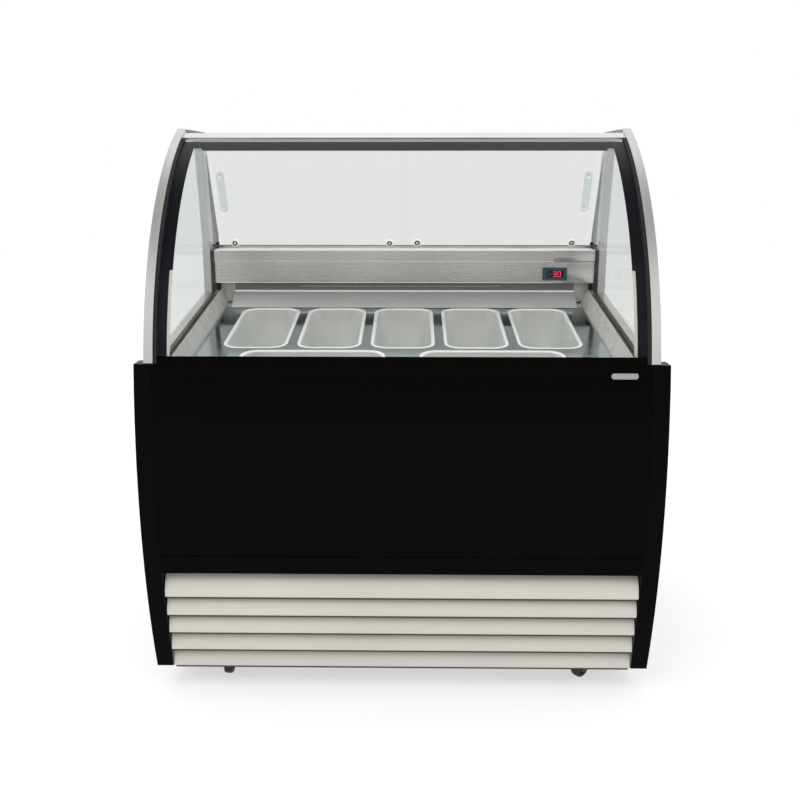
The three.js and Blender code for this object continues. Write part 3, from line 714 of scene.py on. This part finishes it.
def add_lamp():
    """A row of small square diodes under the lamp's housing."""
    low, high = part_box("lamp_housing")
    bm = bmesh.new()
    middle = (low.y + high.y) / 2
    count, margin, half = 60, 0.015, 0.002
    pitch = (high.x - low.x - 2 * margin) / count
    foot, top = low.z - 0.0012, low.z - 0.0002
    for i in range(count):
        x = low.x + margin + (i + 0.5) * pitch
        box(bm, (x - half, middle - half, foot), (x + half, middle + half, top))
    add_mesh("lamp_diodes", bm, "led", "cabinet")


def add_ledge_details():
    """A cover plate over the ledge's right end, near-black blocks at its ends that are painted shade of the
    gaps there, and plates behind the deflector.
    """
    low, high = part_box("rear_ledge")
    right = high.x - 0.001
    lip_foot = high.z - LIP_HEIGHT
    bm = bmesh.new()
    for front, foot, top in (
        (low.y + LIP_REACH, low.z + 0.001, lip_foot - 0.002),
        (low.y, lip_foot + 0.0015, high.z - 0.001),
    ):
        box(bm, (COVER_X, front - 0.0009, foot), (right, front - 0.0001, top), 0.0003)
    add_mesh("ledge_cover_plate", bm, "plate", "cabinet")
    # Near-black blocks between the ledge's ends and the posts: painted shade of the gaps.
    bm = bmesh.new()
    for _, sign in SIDES:
        x0, x1 = sorted((sign * (high.x + 0.0010), sign * (POST_X + 0.0002)))
        box(bm, (x0, low.y + 0.004, 0.862), (x1, low.y + 0.010, high.z - 0.002), 0.0003)
    add_mesh("ledge_end_gap_shade", bm, "gap", "cabinet")
    bm = bmesh.new()
    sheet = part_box("air_deflector")[1].y
    for _, sign in SIDES:
        x0, x1 = sorted((sign * 0.4975, sign * 0.5405))
        box(bm, (x0, sheet + 0.0006, 0.868), (x1, sheet + 0.0018, 0.940), 0.0003)
    add_mesh("deflector_end_plates", bm, "sill", "cabinet")


def add_bright_edges():
    """Glowing strips on the ledge's polished folds and a glowing skin on its shiny top: painted highlights.
    """
    low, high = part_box("rear_ledge")
    face_y = low.y + LIP_REACH
    lip_foot = high.z - LIP_HEIGHT
    left, right = low.x + 0.002, high.x - 0.002
    cover = COVER_X - 0.001
    # Thin bright strips along the folds: painted highlights.
    bm = bmesh.new()
    box(bm, (left, low.y - 0.0008, high.z - 0.0022), (right, low.y - 0.0001, high.z - 0.0002))
    box(bm, (left, low.y - 0.0006, lip_foot), (cover, low.y - 0.0001, lip_foot + 0.0009))
    box(bm, (left, face_y - 0.0006, low.z + 0.0002), (cover, face_y - 0.0001, low.z + 0.0013))
    add_mesh("ledge_fold_highlights", bm, "edge", "cabinet")
    # A skin with a faint glow over the top: painted highlight.
    bm = bmesh.new()
    box(bm, (left, low.y + 0.002, high.z + 0.0001), (right, low.y + 0.070, high.z + 0.0007), 0.0002)
    add_mesh("ledge_top_skin", bm, "rim", "cabinet")


def add_deflector_shade_strip():
    """A darker strip that is painted shade under the ledge, with a row of raised dots, above the
    deflector's fold, and a glowing strip along the fold that is a painted highlight.
    """
    sheet = CAD_LOW.y + 0.735
    reach = 0.498
    # The darker strip is painted shade below the ledge.
    bm = bmesh.new()
    box(bm, (-reach, sheet - 0.0009, 0.9015), (reach, sheet - 0.0001, 0.9335))
    add_mesh("deflector_shade_strip", bm, "vent", "cabinet")
    # A glowing strip along the fold: painted highlight.
    bm = bmesh.new()
    box(bm, (-reach, sheet - 0.0022, 0.8980), (reach, sheet - 0.0010, 0.9010))
    add_mesh("deflector_fold_highlight", bm, "edge", "cabinet")
    bm = bmesh.new()
    first, pitch, count, half = -0.300, 0.0095, 62, 0.0026
    for i in range(count):
        x = first + i * pitch
        box(bm, (x - half, sheet - 0.0018, 0.9120), (x + half, sheet - 0.0010, 0.9155))
    add_mesh("deflector_dots", bm, "ledge", "cabinet")


def add_door_track():
    """A low rib along the ledge, in front of the rollers."""
    low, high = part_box("rear_ledge")
    left, right = low.x + 0.002, high.x - 0.002
    front, back = low.y + 0.0745, low.y + 0.0762
    bm = bmesh.new()
    box(bm, (left, front, high.z + 0.0001), (right, back, high.z + 0.006), 0.0004)
    add_mesh("door_track_rib", bm, "ledge", "cabinet")


# ---- controller ---------------------------------------------------------------------------
SEGMENTS = {
    "3": "abgcd",
    "0": "abcdef",
}


def segment_boxes(width, height, bar):
    """The seven bars of a digit, by letter, as (x0, z0, x1, z1) about its centre."""
    x, z, half = width / 2, height / 2, bar / 2
    return {
        "a": (-x, z - bar, x, z),
        "b": (x - bar, 0, x, z),
        "c": (x - bar, -z, x, 0),
        "d": (-x, -z, x, -z + bar),
        "e": (-x, -z, -x + bar, 0),
        "f": (-x, 0, -x + bar, z),
        "g": (-x, -half, x, half),
    }


def add_controller():
    low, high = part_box("controller")
    middle = (low + high) / 2
    half_x, half_z = (high.x - low.x) / 2, (high.z - low.z) / 2
    upright = Matrix.Translation((middle.x, high.y, middle.z)) @ Matrix.Rotation(math.pi / 2, 4, "X")
    thick = high.y - low.y
    window_x, window_z = half_x - 0.010, half_z - 0.008
    bm = bmesh.new()
    rings = [
        rounded_ring(half_x, half_z, 0.004, 0),
        rounded_ring(half_x, half_z, 0.004, thick - 0.0015),
        rounded_ring(half_x - 0.0015, half_z - 0.0015, 0.003, thick),
        rounded_ring(window_x + 0.001, window_z + 0.001, 0.003, thick),
        rounded_ring(window_x, window_z, 0.002, thick - 0.0015),
    ]
    loft(bm, rings)
    add_mesh("controller_bezel", bm, "bezel", "cabinet", ("controller",), matrix=upright)
    bm = bmesh.new()
    face = thick - 0.0012
    rings = [rounded_ring(window_x - 0.0004, window_z - 0.0004, 0.002, z) for z in (face - 0.0004, face)]
    loft(bm, rings)
    add_mesh("controller_window", bm, "display", "cabinet", matrix=upright)
    bm = bmesh.new()
    for digit, shift in (("3", -0.001), ("0", 0.0125)):
        bars = segment_boxes(width=0.0092, height=0.0155, bar=0.0016)
        for letter in SEGMENTS[digit]:
            x0, z0, x1, z1 = bars[letter]
            box(bm, (shift + x0, z0, face), (shift + x1, z1, face + 0.0004))
    add_mesh("controller_digits", bm, "digits", "cabinet", matrix=upright)
    bm = bmesh.new()
    for shift in (-0.019, -0.0125):
        keys = [rounded_ring(0.0026, 0.0018, 0.0008, z) for z in (face, face + 0.0006)]
        loft(bm, [[co + Vector((shift, 0, 0)) for co in ring] for ring in keys])
    add_mesh("controller_keys", bm, "bezel", "cabinet", matrix=upright)


# ---- doors --------------------------------------------------------------------------------
def door_axis(x, y, z):
    """A frame whose Z axis stands square to the leaning doors."""
    return Matrix.Translation((x, y, z)) @ Matrix.Rotation(-math.pi / 2 + DOOR_LEAN, 4, "X")


def add_rollers():
    radius = 0.012
    disc = [
        (0.0077, -0.0026),
        (0.0110, -0.0026),
        (radius - 0.0003, -0.0021),
        (radius, -0.0013),
        (radius, 0.0014),
        (radius - 0.0004, 0.0022),
        (0.0077, 0.0024),
    ]
    hub = [(0.0036, -0.0028), (0.0070, -0.0029), (0.0076, -0.0023), (0.0076, 0.0024), (0.0036, 0.0024)]
    pin = [(0.0008, -0.0031), (0.0024, -0.0030), (0.0034, -0.0025), (0.0034, 0.0022), (0.0008, 0.0023)]
    for side, _ in SIDES:
        for i in (1, 2):
            node = f"door_roller_{side}_{i}"
            low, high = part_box(node)
            place = door_axis(*((low + high) / 2))
            # The disc and pin take the glowing white: painted light.
            bm = bmesh.new()
            ring_of_revolution(bm, disc, 48)
            add_mesh(f"roller_disc_{side}_{i}", bm, "roller", node, (node,), matrix=place)
            bm = bmesh.new()
            ring_of_revolution(bm, hub, 32)
            add_mesh(f"roller_hub_{side}_{i}", bm, "gap", node, matrix=place)
            bm = bmesh.new()
            turned(bm, pin, 24)
            add_mesh(f"roller_pin_{side}_{i}", bm, "roller", node, matrix=place)


def add_handles():
    half_width, half_length = 0.011, 0.062
    screw_reach = 0.0485
    thick = 0.0056
    for side, _ in SIDES:
        node = f"door_handle_{side}"
        low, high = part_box(node)
        middle = (low + high) / 2
        place = door_axis(*middle)
        bm = bmesh.new()
        shape = ((0, -0.5), (0, 0.3), (-0.0012, 0.5))
        rings = []
        for inset, level in shape:
            half_x = half_width + inset
            rings.append(rounded_ring(half_x, half_length + inset, half_x - 0.0001, level * thick))
        loft(bm, rings)
        body = f"door_{side}"
        add_mesh(f"handle_plate_{side}", bm, "handle", body, (node,), matrix=place)
        bm = bmesh.new()
        for end in (-1, 1):
            for profile in (
                [(0.0046, -0.0086), (0.0046, -0.0080), (0.0036, -0.0074), (0.0010, -0.0070)],
                [(0.0042, 0.0026), (0.0040, 0.0027), (0.0030, 0.00275), (0.0010, 0.00278)],
            ):
                head = bmesh.new()
                turned(head, profile, 24)
                append(bm, head, Matrix.Translation((0, end * screw_reach, 0)))
        # The screw heads take the glowing material: painted highlight.
        add_mesh(f"handle_screws_{side}", bm, "edge", body, matrix=place)


def add_stop_pins():
    """Short leaning pins on the side frames that stop the doors."""
    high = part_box("rear_ledge")[1]
    reach = 0.022
    lean_angle = math.radians(66)
    profile = [
        (0.0030, 0),
        (0.0030, reach - 0.009),
        (0.0043, reach - 0.008),
        (0.0046, reach - 0.001),
        (0.0036, reach),
    ]
    for side, sign in SIDES:
        bm = bmesh.new()
        turned(bm, profile, 24)
        start = Vector((sign * (POST_X + 0.0002), high.y - 0.094, 1.031))
        place = Matrix.Translation(start) @ Matrix.Rotation(-sign * lean_angle, 4, "Y")
        add_mesh(f"stop_pin_{side}", bm, "gap", "cabinet", matrix=place)


# ---- casters ------------------------------------------------------------------------------
CASTER_TRAIL = 0.017
PARKED_TURN = {"front_right": math.radians(-48)}


def caster_places():
    """For each corner: the wheel's frame, with X along the axle, and the fork's top above it."""
    for corner in ("front_left", "front_right", "rear_left", "rear_right"):
        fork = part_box(f"caster_fork_{corner}")
        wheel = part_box(f"caster_wheel_{corner}")
        axle = (wheel[0] + wheel[1]) / 2
        turn = Matrix.Rotation(PARKED_TURN.get(corner, 0), 4, "Z")
        yield corner, Matrix.Translation(axle) @ turn, fork[1].z - axle.z


def wheel_meshes(corner, place):
    node = f"caster_wheel_{corner}"
    tyre = [
        (0.0175, -0.0088),
        (0.0195, -0.0104),
        (0.0220, -0.0106),
        (0.0242, -0.0088),
        (0.0250, -0.0055),
        (0.0250, 0.0055),
        (0.0242, 0.0088),
        (0.0220, 0.0106),
        (0.0195, 0.0104),
        (0.0175, 0.0088),
    ]
    hub = [
        (0.0043, -0.0109),
        (0.0075, -0.0109),
        (0.0085, -0.0095),
        (0.0100, -0.0055),
        (0.0150, -0.0050),
        (0.0165, -0.0088),
        (0.0176, -0.0089),
        (0.0176, 0.0089),
        (0.0165, 0.0088),
        (0.0150, 0.0050),
        (0.0100, 0.0055),
        (0.0085, 0.0095),
        (0.0075, 0.0109),
        (0.0043, 0.0109),
    ]
    across = place @ Matrix.Rotation(math.pi / 2, 4, "Y")
    for name, profile, material, replaced in (
        ("caster_tyre", tyre, "tyre", (node,)),
        ("caster_hub", hub, "fan", ()),
    ):
        bm = bmesh.new()
        ring_of_revolution(bm, profile, 64)
        add_mesh(f"{name}_{corner}", bm, material, node, replaced, matrix=across)


def fork_mesh(corner, place, top):
    """A pressed yoke under a ball-race head, with a bolted axle. Its origin is the axle."""
    node = f"caster_fork_{corner}"
    bm = bmesh.new()
    race = [
        (0.0090, top - 0.0200),
        (0.0170, top - 0.0200),
        (0.0205, top - 0.0175),
        (0.0215, top - 0.0120),
        (0.0195, top - 0.0100),
        (0.0195, top - 0.0060),
        (0.0245, top - 0.0045),
        (0.0249, top - 0.0005),
        (0.0240, top),
        (0.0090, top),
    ]
    head = bmesh.new()
    turned(head, race, 48)
    append(bm, head, Matrix.Translation((0, -CASTER_TRAIL, 0)))
    crown = top - 0.0225
    box(bm, (-0.0150, -CASTER_TRAIL - 0.0170, crown), (0.0150, 0.0095, crown + 0.0030), 0.001)
    outline = [
        (-0.0330, crown + 0.0020),
        (0.0085, crown + 0.0020),
        (0.0098, 0.0),
        (0.0070, -0.0070),
        (0.0, -0.0080),
        (-0.0070, -0.0070),
        (-0.0098, 0.0),
    ]
    for sign in (-1, 1):
        x0, x1 = sorted((sign * 0.0127, sign * 0.0152))
        extruded_x(bm, smooth_line(outline, 3), x0, x1)
    bolt = [
        (0.0025, -0.0179),
        (0.0050, -0.0175),
        (0.0055, -0.0153),
        (0.0039, -0.0152),
        (0.0039, 0.0152),
        (0.0055, 0.0153),
        (0.0050, 0.0175),
        (0.0025, 0.0179),
    ]
    axle = bmesh.new()
    turned(axle, bolt, 24)
    append(bm, axle, Matrix.Rotation(math.pi / 2, 4, "Y"))
    add_mesh(f"caster_yoke_{corner}", bm, "compressor", node, (node,), matrix=place)


def add_casters():
    for corner, place, top in caster_places():
        wheel_meshes(corner, place)
        fork_mesh(corner, place, top)


# ---- stage --------------------------------------------------------------------------------
def add_stage():
    glow = {"Emission_Color": (1, 1, 1, 1), "Emission_Strength": 0.58}
    floor_paint = Paint("pale_floor", (0.38, 0.38, 0.38), 0.9, Specular_IOR_Level=0.1, **glow)
    floor_paint.bump(floor_paint.noise(30), 0.02)
    bm = bmesh.new()
    bmesh.ops.create_grid(bm, x_segments=1, y_segments=1, size=12)
    mesh = bpy.data.meshes.new("floor")
    bm.to_mesh(mesh)
    bm.free()
    mesh.materials.append(floor_paint.material)
    floor = bpy.data.objects.new("floor", mesh)
    bpy.context.scene.collection.objects.link(floor)
    floor.visible_glossy = False


def add_light(name, location, size, power, target=(0, 0, 0.7)):
    lamp = bpy.data.lights.new(name, "AREA")
    lamp.shape = "RECTANGLE"
    lamp.size, lamp.size_y = size
    lamp.energy = power
    obj = bpy.data.objects.new(name, lamp)
    obj.location = location
    aim = Vector(target) - Vector(location)
    obj.rotation_euler = aim.to_track_quat("-Z", "Y").to_euler()
    obj.visible_glossy = False
    bpy.context.scene.collection.objects.link(obj)


def add_world():
    """White where the camera looks, and for the light a bright room that is dim behind the camera."""
    world = bpy.data.worlds.new("studio")
    bpy.context.scene.world = world
    world.use_nodes = True
    tree = world.node_tree
    place = tree.nodes.new("ShaderNodeTexCoord")
    split = tree.nodes.new("ShaderNodeSeparateXYZ")
    tree.links.new(place.outputs["Generated"], split.inputs["Vector"])
    height = map_range(tree, split.outputs["Z"], 0, 1, -1, 1)
    ahead = tree.nodes.new("ShaderNodeValToRGB")
    tree.links.new(height.outputs["Result"], ahead.inputs["Fac"])
    bands = (
        (0.0, 0.85),
        (0.47, 0.85),
        (0.56, 0.5),
        (0.68, 0.85),
        (0.85, 0.85),
        (0.93, 0.42),
        (1.0, 0.36),
    )
    ramp = ahead.color_ramp
    while len(ramp.elements) < len(bands):
        ramp.elements.new(0.5)
    for element, (place_on_ramp, level) in zip(ramp.elements, bands):
        element.position = place_on_ramp
        element.color = (level, level, level, 1)
    behind = map_range(tree, split.outputs["Y"], 0, 1, 0, 0.4)
    behind.interpolation_type = "SMOOTHSTEP"
    blend = tree.nodes.new("ShaderNodeMix")
    tree.links.new(behind.outputs["Result"], blend.inputs["Factor"])
    tree.links.new(ahead.outputs["Color"], blend.inputs["A"])
    blend.inputs["B"].default_value = 1.0
    room = tree.nodes["Background"]
    tree.links.new(blend.outputs["Result"], room.inputs["Strength"])
    room.inputs["Color"].default_value = (1, 1, 1, 1)
    seen = tree.nodes.new("ShaderNodeBackground")
    seen.inputs["Color"].default_value = (1, 1, 1, 1)
    seen.inputs["Strength"].default_value = 1.0
    path = tree.nodes.new("ShaderNodeLightPath")
    mix = tree.nodes.new("ShaderNodeMixShader")
    tree.links.new(path.outputs["Is Camera Ray"], mix.inputs["Fac"])
    tree.links.new(room.outputs["Background"], mix.inputs[1])
    tree.links.new(seen.outputs["Background"], mix.inputs[2])
    tree.links.new(mix.outputs["Shader"], tree.nodes["World Output"].inputs["Surface"])


def add_sun():
    sun = bpy.data.lights.new("sun", "SUN")
    sun.energy = 2.1
    sun.angle = math.radians(70)
    obj = bpy.data.objects.new("sun", sun)
    obj.rotation_euler = (math.radians(14), math.radians(-6), 0)
    obj.visible_glossy = False
    bpy.context.scene.collection.objects.link(obj)


def add_studio():
    add_stage()
    add_world()
    add_sun()
    add_light("key", (-1.4, -2.8, 2.6), (1.6, 1.6), 14)
    view = bpy.context.scene.view_settings
    view.view_transform = "Standard"
    view.look = "None"


add_camera()
dress_nodes()
add_slats()
add_badge()
add_pans()
add_frit()
add_sill_seals()
add_post_liners()
add_lamp()
add_controller()
add_rollers()
add_handles()
add_stop_pins()
add_ledge_details()
add_bright_edges()
add_deflector_shade_strip()
add_door_track()
add_rail_dots()
add_casters()
add_studio()
